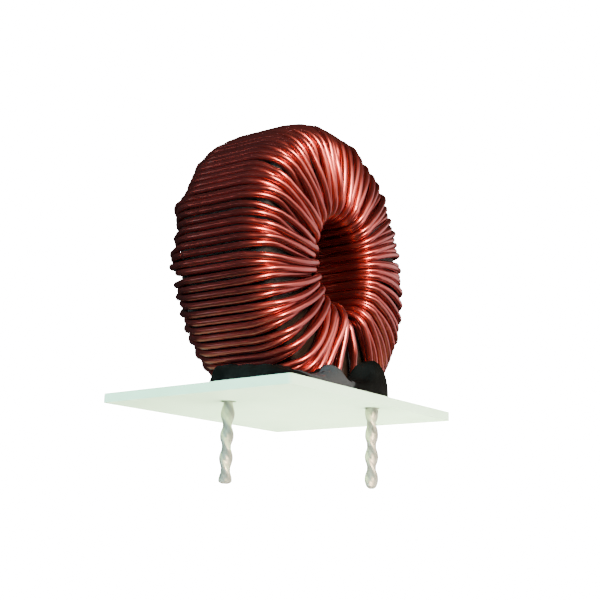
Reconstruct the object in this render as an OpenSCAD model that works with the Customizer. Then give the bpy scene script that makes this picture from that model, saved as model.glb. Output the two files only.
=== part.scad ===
// Toroidal power inductor, standing upright on a glass-epoxy base plate.
// Two enamelled copper wires are wound side by side round a coated ring core.
// The plate's underside lies on Z = 0, the coil's axis runs along X, and +Z is up.

/* [Core] */
// Outside diameter of the coated core
core_od = 48; // [36:0.1:62]
// Inside diameter of the coated core
core_id = 22.3; // [19:0.1:28]
// Height of the coated core along its axis
core_h = 18.2; // [14:0.1:26]
// Radius of the core's rounded edges round the hole
core_edge = 1.5; // [0.8:0.1:2.5]
// Radius of the core's rounded edges round the outside
core_rim = 1.2; // [0.8:0.1:3]

/* [Winding] */
// Diameter of the enamelled wire
wire_d = 1.12; // [0.8:0.01:1.4]
// Free space between two wires that lie side by side
wire_clear = 0.03; // [0.01:0.01:0.1]
// How far the wire stands off the core's flat sides
wire_bow = 0.35; // [0.2:0.05:0.8]
// How far the wire bows out from the core's outside
rim_bow = 1.95; // [0.6:0.05:2.2]
// How far it stands off the core where the coil rests on the plate
seat_bow = 0.15; // [0.05:0.05:0.5]
// Angle at the bottom of the core that is left without turns
open_angle = 23; // [16:0.5:40]
// Angle from straight down to the middle of that open stretch
open_turned = 7.5; // [4:0.5:12]
// Angle from straight down to where the finish wires leave the coil
finish_turned = 11.5; // [10:0.5:14]
// Share of the spare room on the rim that lies between the bunches of turns
bunching = 0.25; // [0:0.05:0.9]
// How far the bunches close up half way across the flat sides
gather = 0.85; // [0:0.05:1]

/* [Base plate] */
// Length of the plate along the coil's axis
plate_x = 41; // [38:0.5:60]
// Width of the plate across the coil
plate_y = 48; // [45:0.5:70]
// Thickness of the plate
plate_t = 1.6; // [1:0.1:3.2]
// Radius of the plate's corners
plate_corner = 0.6; // [0.2:0.1:3]
// Distance from the plate's middle to the coil's middle, along the axis
coil_x = -0.4; // [-2:0.1:2]
// Distance from the plate's middle to the coil's middle, across the axis
coil_y = 3.65; // [-4:0.05:4]
// Angle by which the coil is turned on the plate
coil_turn = 5; // [0:0.5:8]

/* [Leads] */
// Distance from the coil's middle to the start lead, along the axis
start_x = -1.1; // [-3:0.1:3]
// Distance from the coil's middle to the start lead, across the axis
start_y = -18.3; // [-20:0.1:-17]
// Gap between the coil's front face and the middle of the finish lead
finish_out = 6.9; // [6:0.1:7.6]
// Distance from the coil's middle to the finish lead, across the axis
finish_y = -2; // [-4:0.1:0]
// Length of each lead below the plate
lead_len = 13.5; // [3:0.5:30]
// Length in which the two twisted wires make one whole turn
lead_lay = 7.4; // [5:0.1:12]
// Free space between a lead and the wall of its hole
lead_clear = 0.18; // [0.05:0.01:0.4]

/* [Adhesive] */
// Height of the adhesive bed above the plate
bed_h = 4.4; // [3:0.1:6]
// Height of the mound round the start wires
start_mound_h = 5.6; // [4.6:0.1:7]
// Height of the mound round the finish wires
finish_mound_h = 7.2; // [5:0.1:9]
// Space between the adhesive and the wires
bed_clear = 0.05; // [0.02:0.01:0.2]

/* [Hidden] */

core_colour = [0.10, 0.10, 0.11];
wire_colour = [0.62, 0.17, 0.11];
lead_colour = [0.66, 0.68, 0.63];
plate_colour = [0.82, 0.87, 0.80];
adhesive_colour = [0.09, 0.10, 0.09];

wire_r = wire_d / 2;
wire_gap = wire_d + wire_clear;

// Section of one turn, in the plane of the core's radius and axis. Inside the hole
// the wire's middle follows the core's rounded edge. Outside it bows away from the
// core and touches only the middle of the outer edge, in a wider bend.
wire_off = wire_r + wire_clear;
bend_r = core_edge + wire_off;
hole_r = core_id / 2 - wire_off;
rim_r = core_od / 2 + wire_off + rim_bow;
face_x = core_h / 2 + wire_off;
bow_x = face_x + wire_bow;
mid_r = (rim_r + hole_r) / 2;
plate_drop = core_od / 2 + 2 * wire_off + seat_bow;
seat_r = plate_drop - wire_off - 1.5 * wire_clear;
function run_r(angle) = seat_r < rim_r * cos(angle) ? seat_r / cos(angle) : rim_r;
function rim_bend(angle) = core_rim + wire_off
    + (wire_bow + run_r(angle) - core_od / 2 - wire_off) * (1 + 1 / sqrt(2));

// Wire A lies against the core and wire B lies in the valley between two turns
// of wire A, so the hole takes two layers. Every other turn of wire B is crowded
// a little further in, because the second layer has less room than the first.
loose = 1.015;
crowd = 0.53 * wire_gap;
turns = floor((360 - open_angle) / (loose * 2 * asin(wire_gap / 2 / hole_r)));
turn_pitch = (360 - open_angle) / turns;
wire_step = turn_pitch / 2;
first_angle = open_turned - open_angle / 2;
finish_angle = finish_turned - 360;
last_wire = 2 * turns - 3;

// The turns lie in bunches of so many turns, again and again round the core.
bunches = [1, 4, 1, 1, 2, 1, 2, 2, 1, 3, 3];
bunch_starts = [for (k = 0, turn = 0; turn < turns; turn = turn + bunches[k % len(bunches)], k = k + 1)
    turn];
function bunch_of(turn) = max([for (k = [0 : len(bunch_starts) - 1]) if (bunch_starts[k] <= turn) k]);
bunch_first = [for (turn = [0 : turns - 1]) 2 * bunch_starts[bunch_of(turn)]];
bunch_last = [for (turn = [0 : turns - 1]) let (next = bunch_of(turn) + 1)
    2 * (next < len(bunch_starts) ? bunch_starts[next] : turns) - 1];
function bunch_offset(i) = let (turn = floor(i / 2))
    i - (bunch_first[turn] + bunch_last[turn]) / 2;

// Angles are measured round the X axis, from straight down towards +Y. Each wire
// moves one step on from the hole to the rim. On the rim a bunch closes up by a
// share of its spare room, and half way across the face until wire B lies on A.
close_step = 2 * asin(wire_gap / 2 / rim_r);
rim_squeeze = bunching * (wire_step - close_step);
mid_squeeze = gather * (wire_step - rim_squeeze / 2 - asin(crowd / mid_r));
function hole_angle(i) = first_angle - i * wire_step;
function rim_angle(i) = hole_angle(i) - wire_step
    + (i < 0 ? 0 : rim_squeeze * bunch_offset(i));
function smooth(t) = let (c = min(1, max(0, t))) c * c * (3 - 2 * c);
function face_share(r) = min(1, max(0, (r - hole_r) / (rim_r - hole_r)));
function face_angle(i, r, front) = front && i > last_wire
    ? finish_angle + wire_step * (0.5 - i % 2)
    : let (share = face_share(r)) hole_angle(i)
        + smooth(share) * (rim_angle(front ? i : i - 2) - hole_angle(i))
        + 4 * share * (1 - share) * mid_squeeze * bunch_offset(i);

// How far wire B rides up on its two neighbours at a given radius.
function neighbour_angle(i, r, front) = min(
    abs(face_angle(i, r, front) - face_angle(i - 1, r, front)),
    i + 1 < 2 * turns ? abs(face_angle(i, r, front) - face_angle(i + 1, r, front)) : 90);
function ride_up(angle, r) = let (rest = pow(wire_gap, 2) - pow(r * sin(angle), 2))
    rest > 0 ? sqrt(rest) + r * (1 - cos(angle)) : 0;
function lift(i, r, front) = i % 2 == 0 ? 0
    : ride_up(neighbour_angle(i, r, front), r)
        + (i % 4 == 3 ? crowd * (1 - smooth(face_share(r) / 0.8)) : 0);

// One ring of points round the wire: middle p, with n and b across the wire.
wire_sides = 6;
function ring(p, n, b, stretch) = [for (s = [0 : wire_sides - 1])
    p + wire_r * (stretch * cos(360 * s / wire_sides) * n + sin(360 * s / wire_sides) * b)];

function radial(angle) = [0, sin(angle), -cos(angle)];
function tangential(angle) = [0, cos(angle), sin(angle)];

// A ring on the turn's section, where tilt is the direction of the outward
// normal: 0 outside the core, 90 on the front, 180 in the hole, 270 behind.
half_bend = 22.5;
bend_stretch = 1 / cos(half_bend);
function bend_ring(i, tilt) = let (
    front = sin(tilt) > 0,
    outside = cos(tilt) > 0,
    rim = rim_angle(front ? i : i - 2),
    bend = outside ? rim_bend(rim) : bend_r,
    centre_r = outside ? run_r(rim) - bend : hole_r + bend,
    centre_x = (outside ? bow_x : face_x) - bend,
    r = centre_r + bend * bend_stretch * cos(tilt),
    angle = face_angle(i, r, front),
    out = (bend + lift(i, r, front)) * bend_stretch,
    n = cos(tilt) * radial(angle) + sin(tilt) * [1, 0, 0],
    p = centre_r * radial(angle) + (front ? centre_x : -centre_x) * [1, 0, 0] + out * n)
    ring(p, n, tangential(angle), bend_stretch);
mid_rise = 0.14;
function face_ring(i, front) = let (
    angle = face_angle(i, mid_r, front),
    x = bow_x + lift(i, mid_r, front) + (i % 2) * mid_rise,
    n = front ? [1, 0, 0] : [-1, 0, 0])
    ring(mid_r * radial(angle) + x * n, n, tangential(angle), 1);

// Wire i goes inwards behind the core, through the hole, outwards on the front
// and back over the rim to the next turn.
function turn_rings(i) = [
    if (i > 1) bend_ring(i, 337.5),
    if (i > 1) bend_ring(i, 292.5),
    face_ring(i, false),
    bend_ring(i, 247.5),
    bend_ring(i, 202.5),
    bend_ring(i, 157.5),
    bend_ring(i, 112.5),
    face_ring(i, true),
    if (i <= last_wire) bend_ring(i, 67.5),
    if (i <= last_wire) bend_ring(i, 22.5)];

// Each wire's end leaves the coil and runs to its lead. A route is a list of
// [middle of the pair of wires, direction from wire B to wire A].
pair_half = wire_gap / 2;
run_z = wire_off - plate_drop;
lead_top = bed_clear - plate_drop;
leave_r = core_od / 2 - 3.4;
finish_rise = 3.6;
start_angle = hole_angle(-0.5);
back_x = -face_x - wire_d - 0.3;
start_turn = [cos(220), sin(220), 0];
start_route = [
    [[start_x, start_y, lead_top], start_turn],
    [[start_x - 0.3, start_y + 0.3, run_z + 0.6], start_turn],
    [[start_x - 1.6, start_y + 1.3, run_z], start_turn],
    [[back_x + 3.2, start_y + 6.1, run_z], [cos(205), sin(205), 0]],
    [[back_x + 0.3, start_y + 10, run_z], [-1, 0, 0]],
    [[back_x - 0.4, start_y + 14, run_z], [-1, 0, 0]],
    [[back_x - 0.5, start_y + 16.4, run_z + 1], [cos(150), sin(150), 0]],
    [[back_x, start_y + 17.7, run_z + 2.6], [cos(110), sin(110), 0]],
    [leave_r * radial(start_angle) + [-bow_x, 0, 0], tangential(start_angle)]];
finish_x = face_x + wire_r + finish_out;
finish_route = [
    [leave_r * radial(finish_angle) + [bow_x + 0.3, 0, 0], tangential(finish_angle)],
    [[face_x + 2.6, finish_y + 4.3, finish_rise - plate_drop], [0, 1, 0]],
    [[finish_x - 1.1, finish_y + 1, 2 - plate_drop], [0, 1, 0]],
    [[finish_x, finish_y, lead_top], [0, 1, 0]]];

function unit(v) = v / norm(v);
route_spread = 1.12;
function route_rings(route, side) = let (last = len(route) - 1)
    [for (i = [0 : last]) let (
        at_lead = route[i][0][2] == lead_top,
        along = at_lead ? [0, 0, i == 0 ? 1 : -1]
            : unit(route[min(i + 1, last)][0] - route[max(i - 1, 0)][0]),
        across = unit(route[i][1] - (route[i][1] * along) * along),
        out = pair_half * (at_lead ? 1 : route_spread))
        ring(route[i][0] + side * out * across, cross(along, across), across, 1)];

module wire_along(rings) {
    last = len(rings) - 1;
    points = [for (one = rings) for (p = one) p];
    walls = [for (i = [0 : last - 1]) for (s = [0 : wire_sides - 1]) let (
        a = i * wire_sides + s,
        b = i * wire_sides + (s + 1) % wire_sides,
        c = b + wire_sides,
        d = a + wire_sides)
        each [[a, b, c], [a, c, d]]];
    near_end = [for (s = [wire_sides - 1 : -1 : 0]) s];
    far_end = [for (s = [0 : wire_sides - 1]) last * wire_sides + s];
    polyhedron(points, concat([near_end], walls, [far_end]), convexity = 10);
}

module plate_frame(height) {
    translate([coil_x, coil_y, height]) rotate(coil_turn) children();
}

// One wire from its start to its finish: first is 0 for wire A and 1 for wire B.
module wire(first) {
    side = first == 0 ? 1 : -1;
    plate_frame(plate_t + plate_drop) wire_along(concat(
        route_rings(start_route, side),
        [for (turn = [0 : turns - 1]) each turn_rings(2 * turn + first)],
        route_rings(finish_route, side)));
}

module wire_a() {
    color(wire_colour) wire(0);
}

module wire_b() {
    color(wire_colour) wire(1);
}

// The pressed powder ring with its rounded edges and its insulating coat.
module core() {
    inner = core_id / 2 + core_edge;
    outer = core_od / 2 - core_rim;
    color(core_colour) plate_frame(plate_t + plate_drop) rotate([0, 90, 0]) rotate_extrude($fn = 96) {
        translate([inner, -core_h / 2]) square([outer - inner, core_h]);
        translate([core_id / 2, core_edge - core_h / 2])
            square([core_edge, core_h - 2 * core_edge]);
        translate([outer, core_rim - core_h / 2])
            square([core_rim, core_h - 2 * core_rim]);
        for (side = [-1, 1]) {
            translate([inner, side * (core_h / 2 - core_edge)]) circle(r = core_edge, $fn = 48);
            translate([outer, side * (core_h / 2 - core_rim)]) circle(r = core_rim, $fn = 48);
        }
    }
}

// Two wire ends twisted together and dipped in solder, which fills the valleys.
tinned_d = wire_d;
module lead(place, direction) {
    tall = lead_len + plate_t + bed_clear;
    twist = 360 * tall / lead_lay;
    at = atan2(direction[1], direction[0]);
    color(lead_colour) plate_frame(-lead_len) translate([place[0], place[1], 0])
        linear_extrude(height = tall, twist = twist, slices = ceil(twist / 36))
            rotate(at + twist) {
                for (side = [-1, 1])
                    translate([side * pair_half, 0]) circle(d = tinned_d, $fn = 10);
                square([pair_half * 1.5, tinned_d * 0.8], center = true);
            }
}

module start_lead() {
    lead(start_route[0][0], start_route[0][1]);
}

module finish_lead() {
    lead(finish_route[len(finish_route) - 1][0], finish_route[len(finish_route) - 1][1]);
}

// An outline whose corners are turned into arcs, corner by corner.
arc_steps = 5;
function rounded(points, radius) = [for (i = [0 : len(points) - 1]) let (
    p = points[i],
    u = unit(points[(i + len(points) - 1) % len(points)] - p),
    v = unit(points[(i + 1) % len(points)] - p),
    half = acos(u * v) / 2,
    centre = p + unit(u + v) * radius / sin(half),
    from = p + u * radius / tan(half) - centre,
    sweep = (cross(u, v) > 0 ? -1 : 1) * (180 - 2 * half),
    start = atan2(from[1], from[0]))
    for (s = [0 : arc_steps])
        centre + radius * [cos(start + sweep * s / arc_steps), sin(start + sweep * s / arc_steps)]];

// The plate that carries the coil, drilled for the two leads.
lead_hole_r = pair_half + tinned_d / 2 + lead_clear;
module base_plate() {
    outline = [[1, 1], [-1, 1], [-1, -1], [1, -1]];
    color(plate_colour) difference() {
        linear_extrude(height = plate_t)
            polygon(rounded([for (c = outline) [c[0] * plate_x / 2, c[1] * plate_y / 2]], plate_corner));
        for (place = [[start_x, start_y], [finish_x, finish_y]])
            plate_frame(-1) translate([place[0], place[1], 0])
                cylinder(r = lead_hole_r, h = plate_t + 2, $fn = 48);
    }
}

// A mound of adhesive: a low cylinder whose top edge is well rounded.
module mound(radius, height) {
    crown = min(radius, height) * 0.7;
    rotate_extrude($fn = 64) {
        square([radius, height - crown]);
        square([radius - crown, height]);
        translate([radius - crown, height - crown]) intersection() {
            circle(r = crown, $fn = 48);
            square(crown);
        }
    }
}

// The room that the wound coil takes up: the section of a turn of wire B with the
// wire's own thickness round it.
module coil_room() {
    off = wire_r + bed_clear;
    bend = rim_bend(180);
    face = bow_x + mid_rise + wire_gap + crowd / 2 + off;
    function corner(tilt, out) = [
        rim_r - bend + (bend + off + out) * bend_stretch * cos(tilt),
        bow_x - bend + (bend + off + out) * bend_stretch * sin(tilt)];
    half = [corner(22.5, 0), corner(67.5, wire_gap), [mid_r, face], [0, face]];
    rotate([0, 90, 0]) rotate_extrude($fn = 96)
        polygon(concat(half, [for (i = [len(half) - 1 : -1 : 0]) [half[i][0], -half[i][1]]]));
}

// A strip of even width along a path, as an outline with mitred bends.
function strip(path, half) = let (
    last = len(path) - 1,
    steps = [for (i = [0 : last - 1]) unit(path[i + 1] - path[i])],
    sides = [for (i = [0 : last]) let (
        before = steps[max(i - 1, 0)],
        along = unit(before + steps[min(i, last - 1)]))
        half / (along * before) * [-along[1], along[0]]])
    concat(
        [for (i = [0 : last]) path[i] + sides[i]],
        [for (i = [last : -1 : 0]) path[i] - sides[i]]);

// The room that a pair of wires takes up inside the adhesive: a low channel from
// each lead to the coil, and a well behind the coil where the start wires rise.
pair_room_r = pair_half * route_spread + wire_r + bed_clear;
module channel(route, stops, height) {
    plan = [for (i = stops) [route[i][0][0], route[i][0][1]]];
    last = len(plan) - 1;
    before = plan[0] + unit(plan[0] - plan[1]) * pair_room_r;
    after = plan[last] + unit(plan[last] - plan[last - 1]) * pair_room_r;
    linear_extrude(height = height)
        polygon(strip(concat([before], [for (i = [1 : last - 1]) plan[i]], [after]), pair_room_r));
}
module rising_well() {
    foot = start_route[5][0];
    low = start_route[6][0];
    high = start_route[7][0];
    translate([low[0] - pair_room_r, foot[1] - 1, 0])
        cube([high[0] - low[0] + 2 * pair_room_r, high[1] - foot[1] + 4, 2 * bed_h]);
}

// The adhesive that beds the coil on the plate and covers the wire ends.
start_mound_r = 4.6;
finish_mound_r = 4.8;
module adhesive() {
    back = back_x - 3.2;
    front = finish_x + 2.6;
    left = start_y - 2.2;
    right = finish_y + 7;
    outline = [
        [back, right - 3], [-face_x, right - 3], [front - 3, right], [front, finish_y + 1],
        [front - 2, left + 6], [front - 4.5, left], [start_x - 3.8, left],
        [back, start_y + 11]];
    color(adhesive_colour) plate_frame(plate_t) difference() {
        union() {
            linear_extrude(height = bed_h) polygon(rounded(outline, 2));
            for (x = [start_x + 0.4, front - 7])
                translate([x, left + start_mound_r]) mound(start_mound_r, start_mound_h);
            translate([finish_x - 2.6, finish_y + 0.9]) mound(finish_mound_r, finish_mound_h);
        }
        translate([0, 0, plate_drop]) coil_room();
        channel(start_route, [0, 2, 3, 4, 5], 1.5 * wire_d + 2 * bed_clear);
        channel(finish_route, [3, 2, 1, 0], finish_rise + 1.6 * wire_r + bed_clear);
        rising_well();
    }
}

core();
wire_a();
wire_b();
start_lead();
finish_lead();
base_plate();
adhesive();
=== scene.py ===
"""A toroidal inductor: a coated ring core wound with two copper wires side by side,
standing on a small laminate plate in a bed of resin, with its twisted ends below."""

import bpy
import numpy as np
from mathutils import Matrix, Vector


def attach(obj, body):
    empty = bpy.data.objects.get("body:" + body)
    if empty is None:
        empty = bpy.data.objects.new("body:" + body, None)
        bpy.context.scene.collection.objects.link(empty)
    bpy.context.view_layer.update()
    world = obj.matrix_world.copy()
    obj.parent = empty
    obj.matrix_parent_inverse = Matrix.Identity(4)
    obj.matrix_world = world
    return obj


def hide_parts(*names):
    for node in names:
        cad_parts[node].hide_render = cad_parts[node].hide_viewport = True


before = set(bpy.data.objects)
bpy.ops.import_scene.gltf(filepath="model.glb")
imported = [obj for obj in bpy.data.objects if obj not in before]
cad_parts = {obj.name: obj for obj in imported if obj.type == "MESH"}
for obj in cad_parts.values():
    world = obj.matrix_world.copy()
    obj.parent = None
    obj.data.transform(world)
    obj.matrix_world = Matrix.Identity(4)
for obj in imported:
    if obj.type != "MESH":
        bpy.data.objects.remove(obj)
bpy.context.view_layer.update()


# ---------------------------------------------------------------------------
# The ring core. A ring pressed from metal powder, dipped in a black insulating
# resin coat that is baked on. It shows only where the winding leaves a gap.
# ---------------------------------------------------------------------------

# sizes over the coat, in millimetres
core_outside = 48
core_inside = 22.3
core_height = 18.2
core_edge = 1.5  # radius of the edges round its hole
core_rim = 1.2  # radius of the edges round its outside

coat_dark = (0.012, 0.008, 0.006)
coat_pale = (0.018, 0.013, 0.010)
coat_relief = 0.00006  # in metres


class Amount:
    """A number that changes over a surface. Arithmetic on it adds Math nodes."""

    def __init__(self, finish, socket):
        self.finish = finish
        self.socket = socket

    def _math(self, operation, *values):
        node = self.finish.node("Math", {"operation": operation})
        for slot, value in zip(node.inputs, values):
            self.finish.put(slot, value)
        return Amount(self.finish, node.outputs["Value"])

    def __add__(self, other):
        return self._math("ADD", self, other)

    def __radd__(self, other):
        return self._math("ADD", other, self)

    def __sub__(self, other):
        return self._math("SUBTRACT", self, other)

    def __rsub__(self, other):
        return self._math("SUBTRACT", other, self)

    def __mul__(self, other):
        return self._math("MULTIPLY", self, other)

    def __rmul__(self, other):
        return self._math("MULTIPLY", other, self)

    def over(self, low, high):
        """0 below low, 1 above high and smooth between."""
        settings = {"interpolation_type": "SMOOTHSTEP"}
        node = self.finish.node("MapRange", settings, Value=self, From_Min=low, From_Max=high)
        return Amount(self.finish, node.outputs["Result"])


class Finish:
    """One material: a Principled shader and the nodes that feed it."""

    def __init__(self, name, **constants):
        self.material = bpy.data.materials.new(name)
        self.material.use_nodes = True
        self.tree = self.material.node_tree
        self.shader = self.tree.nodes["Principled BSDF"]
        self.set(**constants)

    def put(self, slot, value):
        """Links the slot to what changes over the surface, or writes a constant
        into it. A constant of three numbers is a colour."""
        if isinstance(value, Amount):
            value = value.socket
        if isinstance(value, bpy.types.NodeSocket):
            self.tree.links.new(value, slot)
        else:
            slot.default_value = (*value, 1.0) if isinstance(value, tuple) else value

    def node(self, kind, settings=(), **values):
        """A node of that kind: its settings first, then its sockets' values or
        links. A socket's name is written with _ for a space."""
        node = self.tree.nodes.new("ShaderNode" + kind)
        for name, value in dict(settings).items():
            setattr(node, name, value)
        for name, value in values.items():
            self.put(node.inputs[name.replace("_", " ")], value)
        return node

    def set(self, **values):
        """Values or links for the shader's own sockets."""
        for name, value in values.items():
            self.put(self.shader.inputs[name.replace("_", " ")], value)

    def noise(self, scale, detail=2.0):
        """Cloudy noise from 0 to 1 with that many waves a metre, fixed to the piece."""
        place = self.node("TexCoord").outputs["Object"]
        cloud = self.node("TexNoise", Vector=place, Scale=scale, Detail=detail)
        return Amount(self, cloud.outputs["Fac"])

    def attribute(self, name):
        """A number stored on the mesh's points."""
        found = self.node("Attribute", {"attribute_name": name})
        return Amount(self, found.outputs["Fac"])

    def blend(self, share, low, high):
        """The colour low where share is 0 and high where it is 1."""
        mix = self.node("Mix", {"data_type": "RGBA"}, Factor=share)
        colour_slots = [slot for slot in mix.inputs if slot.type == "RGBA"]
        for slot, colour in zip(colour_slots, (low, high)):
            self.put(slot, colour)
        return next(slot for slot in mix.outputs if slot.type == "RGBA")

    def bump(self, height, depth):
        """Feeds a Bump node's normal to the shader, for relief of that depth in
        metres."""
        relief = self.node("Bump", Height=height, Distance=depth)
        self.set(Normal=relief.outputs["Normal"])


def coat_cad_node(node, finish):
    """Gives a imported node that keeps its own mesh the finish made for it."""
    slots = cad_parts[node].data.materials
    slots.clear()
    slots.append(finish.material)


core_coat = Finish("black core coat", Roughness=0.7, Specular_IOR_Level=0.03)
lumps = core_coat.noise(900, detail=4.0)
core_coat.set(Base_Color=core_coat.blend(lumps.over(0.3, 0.7), coat_dark, coat_pale))
core_coat.bump(lumps, coat_relief)
coat_cad_node("core", core_coat)


# ---------------------------------------------------------------------------
# The two winding wires. Copper under a clear red-brown enamel, wound by hand side
# by side through the ring. Wire A lies on the core and wire B in the valleys
# between its turns, and the turns bunch as they cross the flat sides.
# ---------------------------------------------------------------------------

# sizes in millimetres
metre = 1000
wire_across = 1.12
wire_spare = 0.03  # free space between two wires side by side
enamel_extra = 0.045  # added to the wire's radius, which narrows the dark gaps
face_bow = 0.35  # how far the wire stands off the core's flat sides
rim_bow = 1.95  # how far it bows out from the core's outside
seat_bow = 0.15  # how far it stands off the core over the plate
seat_gap = 0.03  # free space between the lowest wires and the plate
plate_thick = 1.6
coil_x, coil_y = -0.4, 3.65  # from the plate's middle to the coil's middle

# angles in degrees, round the coil's axis from straight down but for the last
open_angle = 23  # the stretch at the bottom of the ring that has no turns
first_angle = -4  # the first wire in the hole
finish_angle = 11.5 - 360  # where the last turn leaves the coil
coil_turn = 5  # the coil is turned this far on the plate, about the upright axis

turns = 53
crowding = 0.53  # every other turn of wire B lies this share of a wire further in
crowd_end = 0.8  # until this share of the way from the hole to the rim
rim_closing = 0.08  # share of the spare angle by which bunches close up on the rim
face_closing = 0.85  # and half way across the flat sides
near_plate = 0.5  # cosine of the angle up to which the wires feel the plate
stretch_samples = 10  # samples along each of a turn's eight bends and runs

wire_radius = wire_across / 2
enamel_radius = wire_radius + enamel_extra
wire_off = wire_radius + wire_spare
wire_apart = wire_across + wire_spare
hole_bend = core_edge + wire_off
hole_radius = core_inside / 2 - wire_off
rim_radius = core_outside / 2 + wire_off + rim_bow
face_reach = core_height / 2 + wire_off
bow_reach = face_reach + face_bow
middle_radius = (rim_radius + hole_radius) / 2
plate_drop = core_outside / 2 + 2 * wire_off + seat_bow
coil_middle = np.array([coil_x, coil_y, plate_thick + plate_drop])
wires = 2 * turns
last_turn = wires - 2
wire_step = (360 - open_angle) / wires
crowd = crowding * wire_apart
touching_step = np.degrees(2 * np.arcsin(wire_apart / 2 / rim_radius))
crowded_step = np.degrees(np.arcsin(crowd / middle_radius))
rim_squeeze = rim_closing * (wire_step - touching_step)
middle_squeeze = face_closing * (wire_step - rim_squeeze / 2 - crowded_step)

# how many turns lie together in each bunch, repeated round the ring
bunch_sizes = np.resize((1, 4, 1, 1, 2, 1, 2, 2, 1, 3, 3), turns)
bunch_of_turn = np.repeat(np.arange(turns), bunch_sizes)[:turns]
bunch_first = 2 * np.searchsorted(bunch_of_turn, bunch_of_turn)
bunch_last = 2 * np.searchsorted(bunch_of_turn, bunch_of_turn, side="right") - 1

# a hand-wound coil is never even: each wire strays by parts of a degree, runs a
# little lower on the rim and rises a little off the flat sides, the last third of
# the turns bunches less, and a few wires stand proud at the back, in a bell curve
rng = np.random.default_rng(53)
rim_stray = rng.normal(0, 0.08, wires)
face_stray = np.repeat(rng.normal(0, 0.2, turns), 2) + rng.normal(0, 0.06, wires)
rim_dip = rng.uniform(0, 0.22, wires)
face_rise = rng.uniform(0, 0.22, wires)
least_rise = 0.14
closing = np.interp(np.arange(wires), [56, 72], [1, 0.45])
proud = np.zeros(wires)
proud[[23, 24, 25, 29, 30, 31, 39, 40, 41]] = 0.4, 0.6, 0.4, 0.3, 0.5, 0.5, 0.3, 0.4, 0.3
knuckle_reach, knuckle_width = -8.5, 3.2  # along the coil's axis

# the first turns hang off the core in the hole: by how much at most, at which wire,
# over how many wires, and until which share of the way from the hole to the rim
slack_most, slack_wire, slack_wires, slack_end = 1.2, 2, 3.5, 0.5


def smooth(share):
    """From 0 to 1 with level ends: three squares less two cubes."""
    share = np.clip(share, 0, 1)
    return share * share * (3 - 2 * share)


def of_wire(values, i):
    """The value for wire i, or for the nearest wire where there is no wire i."""
    return values[np.clip(i, 0, wires - 1)]


def hole_angle(i):
    """Angle of wire i in the hole: even steps, backwards from the first angle."""
    return first_angle - wire_step * i


def bunch_offset(i):
    """How many places wire i lies after the middle of its bunch."""
    turn = np.clip(i // 2, 0, turns - 1)
    return i - (bunch_first[turn] + bunch_last[turn]) / 2


def rim_angle(i):
    """Angle of wire i as it crosses the rim: one step on from its place in the
    hole, closed up a little towards the middle of its bunch, with its stray."""
    closed_up = np.where(i < 0, 0, rim_squeeze * bunch_offset(i) + of_wire(rim_stray, i))
    return hole_angle(i) - wire_step + closed_up


def face_share(radius):
    """How far out a radius lies: 0 in the hole and 1 on the rim."""
    return np.clip((radius - hole_radius) / (rim_radius - hole_radius), 0, 1)


def face_angle(i, radius, front):
    """Angle of wire i on a flat side: a smooth passage from its place in the hole
    to its place on the rim, drawn towards its bunch's middle half way across. The
    last turn's wires leave at their own angle on the front."""
    share = face_share(radius)
    end = rim_angle(i if front else i - 2)
    together = middle_squeeze * bunch_offset(i) * of_wire(closing, i)
    pull = 4 * share * (1 - share) * (together + of_wire(face_stray, i))
    passage = hole_angle(i) + smooth(share) * (end - hole_angle(i)) + pull
    leaving = finish_angle + wire_step * (0.5 - i % 2)
    return np.where(front & (i >= last_turn), leaving, passage)


def lift(i, radius, front):
    """How far wire B lies above wire A: enough to clear the nearer neighbour by a
    wire's thickness, and every other turn is crowded further into the hole."""
    here = face_angle(i, radius, front)
    before = np.abs(here - face_angle(i - 1, radius, front))
    after = np.abs(here - face_angle(i + 1, radius, front))
    gap = np.radians(np.minimum(before, np.where(i + 1 < wires, after, np.inf)))
    spare = wire_apart**2 - (radius * np.sin(gap)) ** 2
    perch = np.sqrt(np.maximum(spare, 0)) + radius * (1 - np.cos(gap))
    further = crowd * (1 - smooth(face_share(radius) / crowd_end))
    up = np.where(spare > 0, perch, 0) + np.where(i % 4 == 3, further, 0)
    return np.where(i % 2 == 1, up, 0)


def slack(i, radius):
    """How far the first turns hang off the core in the hole: a bell curve over
    the wires that fades out towards the middle of the flat side."""
    bell = np.exp(-(((i - slack_wire) / slack_wires) ** 2))
    return slack_most * bell * (1 - smooth(face_share(radius) / slack_end))


def run_radius(i):
    """Radius of wire i's run across the outside: less where the plate is near."""
    near = np.maximum(np.cos(np.radians(rim_angle(i))), near_plate)
    seated = (plate_drop - wire_off - seat_gap) / near
    return np.minimum(rim_radius - of_wire(rim_dip, i), seated)


def rim_bend(run):
    """Radius of the bend that touches the core's outer edge from that run: the
    edge's radius, the wire's offset, and the sum of the bows at its two ends times
    one plus the root of a half."""
    both_bows = face_bow + run - core_outside / 2 - wire_off
    return core_rim + wire_off + both_bows * (1 + 0.5**0.5)


def knuckle(i, reach):
    """How far a wire that climbed over its neighbours stands proud at the back: a
    bell curve along the coil's axis."""
    return of_wire(proud, i) * np.exp(-(((reach - knuckle_reach) / knuckle_width) ** 2))


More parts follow.
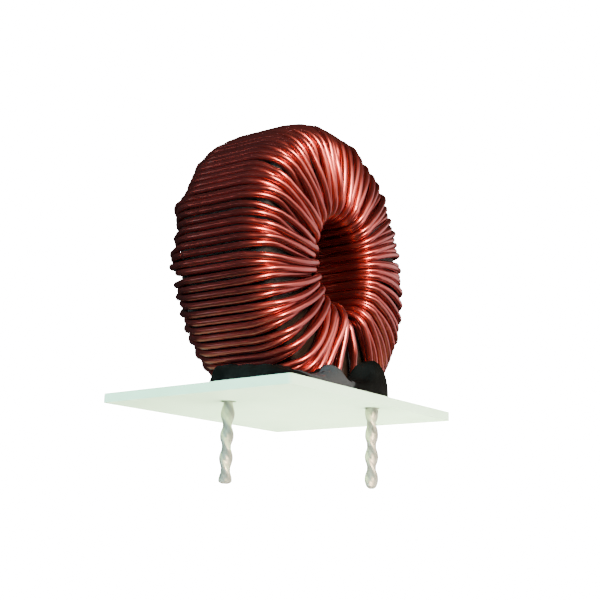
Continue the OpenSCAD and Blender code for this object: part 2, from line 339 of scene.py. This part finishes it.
def turn_points(first):
    """Every turn of one wire, as rows of samples: behind the core inwards, through
    the hole, outwards on the front and back across the outside. Bends are arcs
    round their centre, and a lifted sample moves along its outward normal."""
    i = np.arange(first, wires, 2)[:, None]
    t = np.linspace(0, 1, stretch_samples, endpoint=False)[None, :]
    quarter = np.pi / 2
    inner_end = hole_radius + hole_bend

    def lay(front, radius, reach, tilt, rise=0.0, angle=None):
        """Samples from their radius, their reach along the axis and the tilt of
        their outward normal: 0 outside, a quarter turn on a side, a half inside."""
        angle = face_angle(i, radius, front) if angle is None else angle
        up = lift(i, radius, front) + slack(i, radius) + rise
        side = 1 if front else -1
        around = np.radians(angle)
        r, x = radius + up * np.cos(tilt), side * (reach + up * np.sin(tilt))
        out, sideways = np.cos(tilt), side * np.sin(tilt)
        y, z = np.sin(around), -np.cos(around)
        columns = np.broadcast_arrays(x, r * y, r * z, sideways, out * y, out * z)
        return np.stack(columns[:3], -1), np.stack(columns[3:], -1)

    def inward(front, t):
        """One side from the rim to the hole: outer bend, flat side, inner bend."""
        run = run_radius(i if front else i - 2)
        bend = rim_bend(run)
        outer_end, arc = run - bend, quarter * t
        outer_reach = bow_reach - bend + bend * np.sin(arc)
        flat_reach = face_reach + face_bow * (1 - t**2)
        inner_reach = face_reach - hole_bend + hole_bend * np.cos(arc)
        standing = 0.0 if front else knuckle(i - 2, -outer_reach)
        rise = (i % 2) * (least_rise + of_wire(face_rise, i)) * 4 * t * (1 - t)
        return [
            lay(front, outer_end + bend * np.cos(arc), outer_reach, arc, standing),
            lay(front, outer_end + (inner_end - outer_end) * t, flat_reach, quarter, rise),
            lay(front, inner_end - hole_bend * np.sin(arc), inner_reach, quarter + arc),
        ]

    deep = face_reach - hole_bend
    inside = lay(True, hole_radius, deep * (2 * t - 1), 2 * quarter, angle=hole_angle(i))
    run = run_radius(i)
    reach = (bow_reach - rim_bend(run)) * (1 - 2 * t)
    leave, land = face_angle(i, run, True), face_angle(i + 2, run, False)
    outside = lay(True, run, reach, 0 * t, knuckle(i, reach), leave + (land - leave) * t)
    stretches = inward(False, t) + [inside] + inward(True, 1 - t)[::-1] + [outside]
    return [np.concatenate(column, axis=1) for column in zip(*stretches)]


def on_plate(points):
    """Turns points of the coil's own frame about the upright axis and moves them
    to the coil's place on the plate."""
    x, y, z = np.moveaxis(points, -1, 0)
    turned = np.radians(coil_turn)
    cos, sin = np.cos(turned), np.sin(turned)
    return np.stack([cos * x - sin * y, sin * x + cos * y, z], -1) + coil_middle


def through(knots, count):
    """A Catmull-Rom curve: between each two knots a cubic whose slope at a knot
    is half the step from the knot before it to the knot after it."""
    knots = np.asarray(knots, float)
    before, beyond = 2 * knots[:1] - knots[1:2], 2 * knots[-1:] - knots[-2:-1]
    padded = np.concatenate([before, knots, beyond])
    t = np.linspace(0, len(knots) - 1, count)
    k = np.minimum(t.astype(int), len(knots) - 2)
    u = (t - k)[:, None]
    a, b, c, d = padded[k], padded[k + 1], padded[k + 2], padded[k + 3]
    squares, cubes = 2 * a - 5 * b + 4 * c - d, 3 * b - a - 3 * c + d
    return 0.5 * (2 * b + (c - a) * u + squares * u**2 + cubes * u**3)


def unit(v):
    """Each vector divided by its length."""
    return v / np.linalg.norm(v, axis=-1, keepdims=True)


def tube(path, normal, radius, sides):
    """A round tube: at each point of the path a circle of that radius, square to
    the path's direction and turned to follow the given normal."""
    along = unit(np.gradient(path, axis=0))
    across = unit(normal - np.sum(normal * along, -1, keepdims=True) * along)
    third = np.cross(along, across)
    phi = np.linspace(0, 2 * np.pi, sides, endpoint=False)[None, :, None]
    return path[:, None] + radius * (np.cos(phi) * across[:, None] + np.sin(phi) * third[:, None])


def add_mesh(name, rings, finish, node, marks=()):
    """Joins a grid of rings into one closed piece, in metres, that rides on the
    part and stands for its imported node. Marks are numbers for its points."""
    count, sides = rings.shape[:2]
    ring, point = np.arange(count - 1)[:, None] * sides, np.arange(sides)
    near, far = (ring + point).ravel(), (ring + (point + 1) % sides).ravel()
    walls = np.stack([near, far, far + sides, near + sides], -1)
    ends = [point[::-1].tolist(), (point + (count - 1) * sides).tolist()]
    mesh = bpy.data.meshes.new(name)
    mesh.from_pydata((rings.reshape(-1, 3) / metre).tolist(), [], walls.tolist() + ends)
    mesh.polygons.foreach_set("use_smooth", np.ones(len(mesh.polygons), bool))
    for mark, values in marks:
        layer = mesh.attributes.new(mark, "FLOAT", "POINT")
        layer.data.foreach_set("value", np.asarray(values, np.float32).ravel())
    mesh.materials.append(finish.material)
    piece = bpy.data.objects.new(name, mesh)
    bpy.context.scene.collection.objects.link(piece)
    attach(piece, "root")
    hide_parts(node)


# the leads' places in the coil's own frame, and the bearings of the line from one
# of a pair's wires to the other
finish_out = 6.9  # from the coil's front face to the finish lead
start_lead = (-1.1, -18.3)
finish_lead = (face_reach + wire_radius + finish_out, -2.0)
start_across, finish_across = 220, 90
pair_half = wire_apart / 2  # from the pair's middle to the middle of a wire
loose = 1.12  # the pair is opened by this factor away from its lead
end_gap = 0.3  # free space between the wires' ends and the turns
leave_depth = 3.4  # how far inside the core's outside the ends leave the turns
plate_top = -plate_drop
run_height = plate_top + wire_off


def bearing(degrees):
    """The level direction at that angle from the coil's axis."""
    return np.array([np.cos(np.radians(degrees)), np.sin(np.radians(degrees)), 0])


def outward(degrees):
    """The direction out from the coil's axis at that angle from straight down."""
    return np.array([0, np.sin(np.radians(degrees)), -np.cos(np.radians(degrees))])


def wire_end_routes(side):
    """The knots that one wire follows from its lead to the coil and from the coil
    to its lead. A row of a route is the middle of the pair, the direction across
    it and how far it is opened."""
    back = -face_reach - wire_across - end_gap
    leave = core_outside / 2 - leave_depth
    start_angle = hole_angle(-0.5)
    start_leave = leave * outward(start_angle) - [bow_reach, 0, 0]
    finish_leave = leave * outward(finish_angle) + [bow_reach + end_gap, 0, 0]
    (sx, sy), (fx, fy) = start_lead, finish_lead
    start = [
        ([sx, sy, plate_top - 0.3], bearing(start_across), 1),
        ([sx, sy, plate_top + 0.1], bearing(start_across), 1),
        ([sx - 0.3, sy + 0.3, run_height + 0.6], bearing(start_across), loose),
        ([sx - 1.6, sy + 1.3, run_height], bearing(start_across), loose),
        ([back + 3.2, sy + 6.1, run_height], bearing(205), loose),
        ([back + 0.3, sy + 10, run_height], bearing(180), loose),
        ([back - 0.4, sy + 14, run_height], bearing(180), loose),
        ([back - 0.5, sy + 16.4, run_height + 1], bearing(150), loose),
        ([back, sy + 17.7, run_height + 2.6], bearing(110), loose),
        (start_leave, outward(start_angle + 90), loose),
    ]
    finish = [
        (finish_leave, outward(finish_angle + 90), loose),
        ([face_reach + 2.6, fy + 4.3, plate_top + 3.6], bearing(finish_across), loose),
        ([fx - 1.1, fy + 1, plate_top + 2], bearing(finish_across), loose),
        ([fx, fy, plate_top + 0.1], bearing(finish_across), 1),
        ([fx, fy, plate_top - 0.3], bearing(finish_across), 1),
    ]

    def knots(route):
        """The middle of the pair, moved to this wire's side of it."""
        middle, across, opened = (np.array(column) for column in zip(*route))
        return middle + side * pair_half * opened[:, None] * across

    return knots(start), knots(finish)


# the samples of a wire's two ends, the normals that its tube follows there, and the
# samples that are kept of its turns, without the first 1.5 and the last 2.5 stretches
start_samples, finish_samples = 90, 60
start_normal, finish_normal = (-1.0, 0.1, -0.4), (1.0, 0.1, 0.4)
kept_samples = slice(3 * stretch_samples // 2, -5 * stretch_samples // 2)


def whole_wire(first):
    """One wire's full path from lead to lead, and the normal its tube follows. The
    coil's first sample is half way in behind the core and its last one half way
    out on the front."""
    path, facing = (rows.reshape(-1, 3)[kept_samples] for rows in turn_points(first))
    start, finish = wire_end_routes(1 if first == 0 else -1)
    lead_in = through(np.vstack([start, path[:1]]), start_samples)[:-1]
    lead_out = through(np.vstack([path[-1:], finish]), finish_samples)[1:]
    facing_in = np.tile(start_normal, (len(lead_in), 1))
    facing_out = np.tile(finish_normal, (len(lead_out), 1))
    facing = np.concatenate([facing_in, facing, facing_out])
    return on_plate(np.concatenate([lead_in, path, lead_out])), on_plate(facing) - coil_middle


enamel_deep = (0.36, 0.066, 0.056)
enamel_bright = (0.52, 0.090, 0.076)
enamel_relief = 0.000005  # in metres
wire_sides = 12
tone_length, tones = 14, 300  # millimetres between tones, and tones for a wire

enamel = Finish(
    "red-brown wire enamel", Metallic=0.98, Coat_Weight=0.6, Coat_Roughness=0.08, Coat_IOR=1.5
)
wire_tone = enamel.attribute("tone")
patches = enamel.noise(240, detail=3.0)
brightness = (wire_tone * 0.6 + patches * 0.4).over(0.2, 0.8)
enamel.set(
    Base_Color=enamel.blend(brightness, enamel_deep, enamel_bright),
    Roughness=0.27 + patches * 0.08,
)
enamel.bump(enamel.noise(900), enamel_relief)

for first, node in ((0, "wire_a"), (1, "wire_b")):
    path, facing = whole_wire(first)
    rings = tube(path, facing, enamel_radius, wire_sides)
    steps = np.linalg.norm(np.diff(path, axis=0), axis=1)
    length = np.concatenate([[0], np.cumsum(steps)])
    tone = np.interp(length, tone_length * np.arange(tones), rng.random(tones))
    marks = [("tone", np.repeat(tone, wire_sides))]
    add_mesh("winding_" + node, rings, enamel, node, marks)


# ---------------------------------------------------------------------------
# The leads. At each end of the winding both wires are scraped bare, twisted
# together and dipped in solder, which fills the valleys between them.
# ---------------------------------------------------------------------------

# sizes in millimetres
lead_length = 13.5  # below the plate
lead_top = plate_thick + 0.05
twist_length = 7.4  # in which the pair makes one whole turn
web = 0.8  # how far the solder reaches from the pair's middle
web_power = 6  # how sharply it passes over into the wires
dome_height, dome_radius = 0.5, 0.56
dome_least = 0.02  # least square of the share to which the foot shrinks
shaft_start = 0.7  # from the foot to the first ring above the dome
waist_depth = 0.03  # the share by which a sine wave narrows the lead at most
waist_wave, waist_shift = 2.1, 1.0  # the wave's radians a millimetre and its shift
dome_rings, shaft_rings, lead_sides = 7, 120, 40

solder_colour = (0.40, 0.38, 0.28)
solder_relief = 0.00008  # in metres


def twisted_lead(place, across):
    """Two round lobes with solder between them, turned evenly with height: the
    radius at an angle is the farther of the lobe's edge and the solder web, by the
    sixth root of the sum of their sixth powers. A sine wave narrows it a little in
    places, and the foot is domed by shrinking the last rings."""
    foot = -lead_length
    dome_levels = np.linspace(foot, foot + dome_height, dome_rings)
    height = np.concatenate([dome_levels, np.linspace(foot + shaft_start, lead_top, shaft_rings)])
    phi = np.linspace(0, 2 * np.pi, lead_sides, endpoint=False)
    beside = np.maximum(wire_radius**2 - (pair_half * np.sin(phi)) ** 2, 0)
    lobe = pair_half * np.abs(np.cos(phi)) + np.sqrt(beside)
    radius = (lobe**web_power + web**web_power) ** (1 / web_power)
    depth = ((foot + dome_height - height) / dome_radius).clip(0, 1)
    dome = np.sqrt(np.clip(1 - depth**2, dome_least, 1))
    waist = 1 + waist_depth * np.sin(height * waist_wave + waist_shift)
    turn = np.radians(across) + 2 * np.pi * (lead_top - height) / twist_length
    angle = phi[None, :] + turn[:, None]
    r = radius[None, :] * (dome * np.minimum(waist, 1.0))[:, None]
    x, y = place[0] + r * np.cos(angle), place[1] + r * np.sin(angle)
    z = np.broadcast_to(height[:, None] - coil_middle[2], r.shape)
    return on_plate(np.stack([x, y, z], -1))


tinned = Finish("solder on the leads", Metallic=0.85, Base_Color=solder_colour)
ripple = tinned.noise(1100, detail=3.0)
tinned.set(Roughness=0.35 + ripple * 0.2)
tinned.bump(ripple, solder_relief)

for place, across, node in (
    (start_lead, start_across, "start_lead"),
    (finish_lead, finish_across, "finish_lead"),
):
    add_mesh("twisted_" + node, twisted_lead(place, across), tinned, node)


# ---------------------------------------------------------------------------
# The base plate. A sheet of bare glass-epoxy laminate, 1.6 mm thick, cut to a
# rectangle and drilled for the two leads.
# ---------------------------------------------------------------------------

laminate_dark = (0.29, 0.42, 0.23)
laminate_pale = (0.33, 0.46, 0.27)

laminate = Finish("pale glass-epoxy laminate", Roughness=0.45, IOR=1.5)
clouds = laminate.noise(120, detail=3.0).over(0.2, 0.8)
laminate.set(Base_Color=laminate.blend(clouds, laminate_dark, laminate_pale))
coat_cad_node("base_plate", laminate)


# ---------------------------------------------------------------------------
# The adhesive. A black resin poured round the foot of the coil and pushed over
# the wire ends while soft, which left lumps and a rounded edge. A glossier patch
# on its front is painted a lighter grey, which is a painted reflection.
# ---------------------------------------------------------------------------

# the bed's outline on the plate and the point that its rings draw in to
bed_middle = np.array([3.0, -6.5])
bed_outline = [
    (-2.2, -17.0), (1.0, -17.6), (5.0, -17.7), (10.0, -18.0), (14.2, -18.5), (16.8, -18.2),
    (18.4, -15.6), (18.6, -11.5), (18.3, -7.0), (18.9, -3.0), (19.5, 1.0), (19.3, 4.4),
    (17.6, 6.2), (14.2, 6.5), (11.4, 5.4), (8.0, 2.0), (3.0, 1.0), (-3.0, 1.0), (-8.0, 1.8),
    (-12.0, 2.2), (-14.2, 0.6), (-14.8, -3.0), (-13.4, -7.4), (-9.8, -12.4), (-5.8, -15.6),
]

# its height above the plate, as (place, height): beside the coil by x, and in
# front of it by y
side_profile = [(-6, 1.6), (-3.0, 1.9), (-1.6, 4.7), (6.5, 3.9), (14.5, 3.1), (17.5, 2.4)]
front_profile = [
    (-18.4, 2.5), (-15.5, 1.8), (-12.1, 2.0), (-9.6, 3.0), (-8.0, 4.2), (-7.0, 4.3),
    (-6.0, 3.2), (-5.0, 2.2), (-3.4, 2.2), (-1.6, 2.4), (0.2, 3.2), (2.0, 5.6), (3.4, 6.8),
    (5.0, 6.4), (6.4, 4.0),
]
back_height = 1.8
mound_place, mound_width, mound_height = (-12.0, -2.0), 4.0, 3.4
side_edge, side_fade = -8, 5  # the side's profile takes over below this y
front_edge, front_fade = 11, 3.5  # and the front's above this x, over these lengths

# its lumps, as (height, radians a millimetre along x, the same along y, shift)
bed_lumps = [(0.10, 1.7, 0.9, 1.0), (0.08, -1.1, 2.3, 0.0), (0.03, 5.1, 4.3, 0.0)]

bed_sides, bed_rings = 420, 70
ring_power = 1.9  # the rings close up towards the edge by this power
last_share = 0.004  # size of the last ring, as a share of the outline
edge_flatness, edge_steepness = 16, 0.42  # the powers of the edge's superellipse
outline_waves = 5  # round the outline
outline_wave = 0.006  # their height, as a share of the distance from the middle


def along(profile, place):
    """The height at a place, on straight lines between the profile's points."""
    return np.interp(place, *zip(*profile))


def hill(x, y, place, width, height):
    """A bell-shaped hill."""
    return height * np.exp(-((x - place[0]) ** 2 + (y - place[1]) ** 2) / width**2)


def bed_height(x, y):
    """Height of the resin above the plate: along the coil's side and along its
    front it follows a profile, behind the coil it is low with a mound over the
    rising wires, and it has lumps all over, the sum of three sine waves."""
    back = back_height + hill(x, y, mound_place, mound_width, mound_height)
    beside = back + (along(side_profile, x) - back) * smooth((side_edge - y) / side_fade)
    to_front = smooth((x - front_edge) / front_fade)
    lumps = sum(high * np.sin(kx * x + ky * y + shift) for high, kx, ky, shift in bed_lumps)
    return beside + (along(front_profile, y) - beside) * to_front + lumps


def resin_bed():
    """The bed as rings from its foot to its middle: the outline drawn in towards a
    middle point, with a superellipse for its rounded edge and a slight wave."""
    knots = np.array(bed_outline + bed_outline[:1])
    edge = through(knots, bed_sides + 1)[:bed_sides]
    share = 1 - np.linspace(0, 1, bed_rings)[:, None] ** ring_power
    share[-1] = last_share
    plan = bed_middle + (edge - bed_middle) * share[..., None]
    x, y = plan[..., 0], plan[..., 1]
    bearings = np.arctan2(y - bed_middle[1], x - bed_middle[0])
    wave = outline_wave * np.sin(outline_waves * bearings) * share
    rise = (1 - share**edge_flatness) ** edge_steepness
    plan = plan + (plan - bed_middle) * wave[..., None]
    return np.concatenate([plan, (plate_thick + bed_height(x, y) * rise)[..., None]], -1)


# the glossier patch on the bed's front, painted lighter grey as a reflection: the
# heights of its foot and its top by y, the y of its two ends, the x from which the
# front is, and the lengths over which it fades
painted_reflection_foot = [(-17.8, 3.4), (-15.5, 2.2), (-5.0, 2.1), (-3.0, 3.9)]
painted_reflection_top = [
    (-17.8, 3.7), (-15.5, 3.3), (-12.1, 3.6), (-9.6, 4.8), (-7.8, 6.2), (-6.6, 5.4),
    (-5.8, 3.9), (-4.8, 3.4), (-3.0, 4.2),
]
painted_reflection_start, painted_reflection_end, painted_reflection_front = -18.2, -2.7, 15
painted_reflection_fade, painted_reflection_end_fade = 0.25, 0.6


def gloss_and_painted_reflection_share(bed):
    """1 on the front between the painted reflection patch's foot and top and between
    its ends, and 0 elsewhere, with a smooth passage."""
    x, y, z = np.moveaxis(bed, -1, 0)
    above_foot = smooth((z - along(painted_reflection_foot, y)) / painted_reflection_fade)
    below_top = smooth((along(painted_reflection_top, y) - z) / painted_reflection_fade)
    after_start = smooth((y - painted_reflection_start) / painted_reflection_end_fade)
    before_end = smooth((painted_reflection_end - y) / painted_reflection_end_fade)
    return above_foot * below_top * (after_start * before_end * (x > painted_reflection_front))


resin_dark = (0.0012, 0.0012, 0.0009)
resin_dusty = (0.003, 0.003, 0.0023)
# the next colour is a painted reflection: the lighter grey of the glossy patch on the front
resin_painted_reflection = (0.020, 0.020, 0.0185)
resin_relief = 0.00015  # in metres

resin = Finish("black bedding resin", Specular_IOR_Level=0.03)
gloss_and_painted_reflection = resin.attribute("gloss_and_painted_reflection")
dust = resin.noise(300, detail=4.0)
resin_own_colour = resin.blend(dust.over(0.3, 0.7), resin_dark, resin_dusty)
# the patch is glossier, and its lighter grey colour is a painted reflection of the light
resin.set(Base_Color=resin.blend(gloss_and_painted_reflection, resin_own_colour, resin_painted_reflection), Roughness=0.8 - gloss_and_painted_reflection * 0.5)
resin.bump(dust, resin_relief)

bed = resin_bed()
add_mesh("resin_bed", bed, resin, "adhesive", [("gloss_and_painted_reflection", gloss_and_painted_reflection_share(bed))])


# ---------------------------------------------------------------------------
# The pale table, the white backdrop, the lights and the camera. The table and the
# backdrop glow without showing as reflections, and so do the two room lamps.
# ---------------------------------------------------------------------------

# sizes in metres
table_middle, table_half = (0.012, 0.020, -0.045), 0.05
backdrop_half, backdrop_levels = 1.6, (-0.3, 1.6)


def add_stage(name, corners, faces, finish):
    """A plain piece of the setting, from its corners in metres."""
    mesh = bpy.data.meshes.new(name)
    mesh.from_pydata(corners, [], faces)
    mesh.materials.append(finish.material)
    thing = bpy.data.objects.new(name, mesh)
    bpy.context.scene.collection.objects.link(thing)
    thing.visible_glossy = False
    return thing


square = [(-1, -1), (1, -1), (1, 1), (-1, 1)]
tx, ty, tz = table_middle
table_corners = [(tx + table_half * x, ty + table_half * y, tz) for x, y in square]
table_finish = Finish(
    "white table",
    Base_Color=(0.9, 0.9, 0.88),
    Roughness=0.8,
    Emission_Color=(1.0, 0.99, 0.96),
    Emission_Strength=21,
)
add_stage("table", table_corners, [(0, 1, 2, 3)], table_finish)

backdrop_corners = [
    (backdrop_half * x, backdrop_half * y, z) for z in backdrop_levels for x, y in square
]
floor_and_top = [(0, 3, 2, 1), (4, 5, 6, 7)]
walls = [(k, (k + 1) % 4, (k + 1) % 4 + 4, k + 4) for k in range(4)]
backdrop_finish = Finish(
    "white backdrop",
    Base_Color=(0, 0, 0),
    Emission_Color=(1.0, 0.995, 0.985),
    Emission_Strength=22.0,
)
backdrop = add_stage("backdrop", backdrop_corners, floor_and_top + walls, backdrop_finish)
backdrop.visible_diffuse = backdrop.visible_transmission = backdrop.visible_shadow = False

world = bpy.data.worlds.new("studio")
world.use_nodes = True
sky = world.node_tree.nodes["Background"].inputs
sky["Color"].default_value = (0.8, 1.0, 0.95, 1)
sky["Strength"].default_value = 0.02
bpy.context.scene.world = world


def direction(azimuth, height):
    """The direction at those two angles: round from the x axis, and up."""
    level = np.cos(height)
    return np.array([np.cos(azimuth) * level, np.sin(azimuth) * level, np.sin(height)])


def add_lamp(name, azimuth, height, distance, size, power, colour, mirrored=True):
    """A soft lamp that faces the coil, placed by its direction from the coil in
    degrees and its distance in metres."""
    lamp = bpy.data.lights.new(name, "AREA")
    lamp.shape = "RECTANGLE"
    lamp.size, lamp.size_y = size
    lamp.energy = power
    lamp.color = colour
    light = bpy.data.objects.new(name, lamp)
    ray = Vector(direction(np.radians(azimuth), np.radians(height)))
    light.location = Vector(coil_middle / metre) + ray * distance
    light.rotation_euler = ray.to_track_quat("Z", "Y").to_euler()
    light.visible_glossy = mirrored
    bpy.context.scene.collection.objects.link(light)


add_lamp("window", -24, 16, 0.5, (0.16, 0.10), 7, (1.0, 0.74, 0.56))
add_lamp("wide window", 4, 22, 0.5, (0.60, 0.26), 2.0, (1.0, 0.76, 0.68))
add_lamp("side wall", 62, 5, 0.6, (0.6, 0.6), 1.4, (1.0, 0.80, 0.80))
add_lamp("near strip", -121.5, -3, 0.7, (0.012, 0.25), 0.05, (1.0, 0.95, 0.95))
add_lamp("far strip", -124.5, -3, 0.7, (0.012, 0.25), 0.05, (1.0, 0.95, 0.95))
add_lamp("room", -88, 8, 0.5, (0.4, 0.4), 24, (0.45, 0.8, 1.0), mirrored=False)
add_lamp("far room", 40, 0, 0.5, (0.4, 0.4), 16, (0.8, 0.9, 1.0), mirrored=False)

# the camera: its place and its sensor's width in millimetres, its angles in
# degrees, and its focal length and the render's width in pixels
eye = np.array([105.7, -132.35, -22.91]) / metre
yaw, pitch, roll = np.radians([127.73, 14.45, 1.40])
sensor_width, focal_pixels, render_width = 36, 952.3, 600

forward = direction(yaw, pitch)
right = np.array([np.sin(yaw), -np.cos(yaw), 0])
above = np.cross(right, forward)
tilted = np.cos(roll) * right + np.sin(roll) * above
upward = -np.sin(roll) * right + np.cos(roll) * above
lens = bpy.data.cameras.new("camera")
lens.sensor_width = sensor_width
lens.lens = sensor_width * focal_pixels / render_width
lens.clip_start = 0.005
camera = bpy.data.objects.new("camera", lens)
placed = np.eye(4)
placed[:3] = np.stack([tilted, upward, -forward, eye], 1)
camera.matrix_world = Matrix(placed.tolist())
bpy.context.scene.collection.objects.link(camera)
bpy.context.scene.camera = camera
